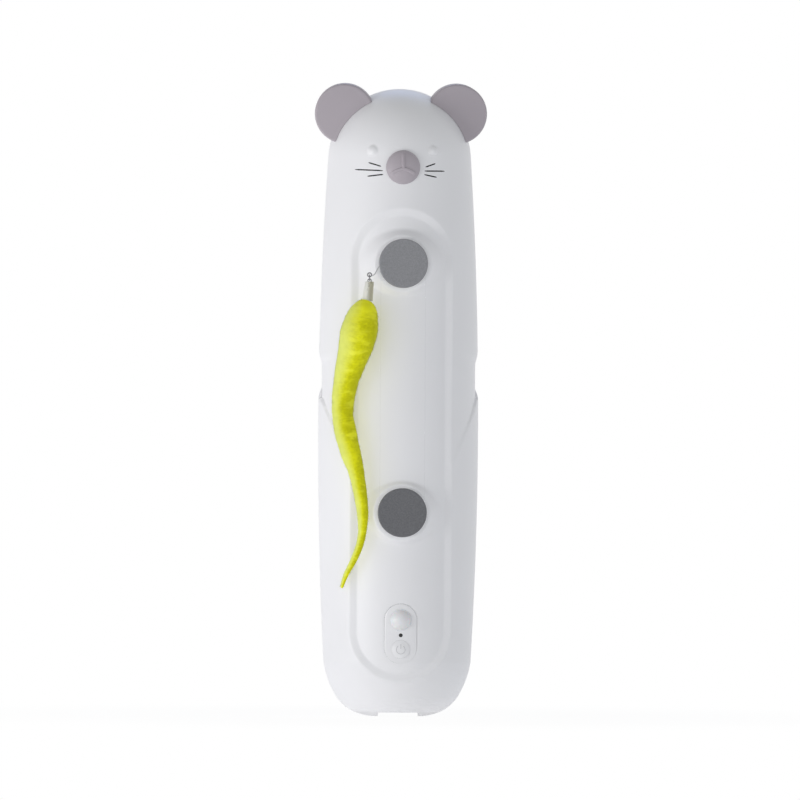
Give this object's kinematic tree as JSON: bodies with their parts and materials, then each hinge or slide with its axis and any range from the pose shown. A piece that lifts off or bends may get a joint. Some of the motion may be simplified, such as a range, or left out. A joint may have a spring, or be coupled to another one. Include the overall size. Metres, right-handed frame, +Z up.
{
  "type": "cat toy",
  "caption": "Upright capsule-shaped cat toy with round ears and a nose, whose front pulleys carry a string loop that moves a plush worm lure up and down.",
  "frame": {"origin": "on the floor plane under the body's axis", "axes": "+Z up, front towards -Y, the lure hangs on the -X side"},
  "size_m": [0.1008, 0.1123, 0.3701],
  "materials": {
    "shell": "fine satin",
    "foot": "soft matt",
    "ear": "satin",
    "panel": "satin",
    "lens": "translucent white",
    "dark": "matt",
    "cap": "fine grain",
    "pulley": "satin",
    "gear": "moulded",
    "steel": "bright",
    "brass": "sintered",
    "board": "solder mask",
    "cell": "sleeved",
    "string": "clear line",
    "sleeve": "translucent",
    "plush": "short pile"
  },
  "bodies": {
    "body": {"front_shell": "shell", "back_shell": "shell", "foot_ring": "foot", "ear_left": "ear", "ear_right": "ear", "nose_cap": "ear", "control_panel": "panel", "sensor_lens": "lens", "light_pipe": "dark", "control_board": "board", "motion_sensor": "steel", "indicator_led": "lens", "button_switch": "dark", "upper_axle": "steel", "string_loop": "string", "drive_bush": "brass", "second_pin": "steel", "first_pin": "steel", "gear_frame": "dark", "gear_plate": "dark", "motor": "steel", "battery_holder": "dark", "battery_cell": "cell", "charge_board": "board", "charge_port": "steel", "case_screw_1": "steel", "case_screw_2": "steel", "case_screw_3": "steel", "case_screw_4": "steel"},
    "button": {"power_button": "panel", "switch_plunger": "dark"},
    "idler": {"upper_pulley": "pulley", "upper_cap": "cap"},
    "drive": {"lower_pulley": "pulley", "lower_cap": "cap", "drive_shaft": "steel", "output_gear": "gear"},
    "second_stage": {"second_gear": "gear"},
    "first_stage": {"first_gear": "gear"},
    "motor_rotor": {"motor_pinion": "brass", "motor_spindle": "steel"},
    "carrier": {"line_crimp": "steel"},
    "snap": {"snap_link": "steel"},
    "lure": {"lure_eye": "steel", "lure_sleeve": "sleeve", "lure_worm": "plush"}
  },
  "joints": [
    {"name": "lure_travel", "type": "slide", "parent": "body", "child": "carrier", "axis": [0, 0, 1], "range_m": [-0.07, 0]},
    {"name": "drive_spin", "type": "hinge", "parent": "body", "child": "drive", "pos_m": [0, 0, 0.1194], "axis": [0, 1, 0], "continuous": true},
    {"name": "idler_spin", "type": "hinge", "parent": "body", "child": "idler", "pos_m": [0, 0, 0.2647], "axis": [0, 1, 0], "continuous": true},
    {"name": "second_spin", "type": "hinge", "parent": "body", "child": "second_stage", "pos_m": [0.0118, 0, 0.12766], "axis": [0, 1, 0], "continuous": true},
    {"name": "first_spin", "type": "hinge", "parent": "body", "child": "first_stage", "pos_m": [0, 0, 0.13592], "axis": [0, 1, 0], "continuous": true},
    {"name": "motor_spin", "type": "hinge", "parent": "body", "child": "motor_rotor", "pos_m": [-0.0118, 0, 0.14418], "axis": [0, 1, 0], "continuous": true},
    {"name": "snap_swing", "type": "hinge", "parent": "carrier", "child": "snap", "pos_m": [-0.01965, -0.04973, 0.258], "axis": [0, 1, 0], "range_deg": [0, 45]},
    {"name": "lure_lift", "type": "hinge", "parent": "snap", "child": "lure", "pos_m": [-0.01965, -0.04973, 0.2556], "axis": [-1, 0, 0], "range_deg": [0, 60]},
    {"name": "button_press", "type": "slide", "parent": "body", "child": "button", "axis": [0, 1, 0], "range_m": [0, 0.0005], "stiffness_N_per_m": 600}
  ],
  "couplings": [
    {"joint": "drive_spin", "follows": "lure_travel", "rad_per_m": 76.628},
    {"joint": "idler_spin", "follows": "lure_travel", "rad_per_m": 76.628},
    {"joint": "second_spin", "follows": "lure_travel", "rad_per_m": -229.89},
    {"joint": "first_spin", "follows": "lure_travel", "rad_per_m": 689.66},
    {"joint": "motor_spin", "follows": "lure_travel", "rad_per_m": -2069}
  ]
}
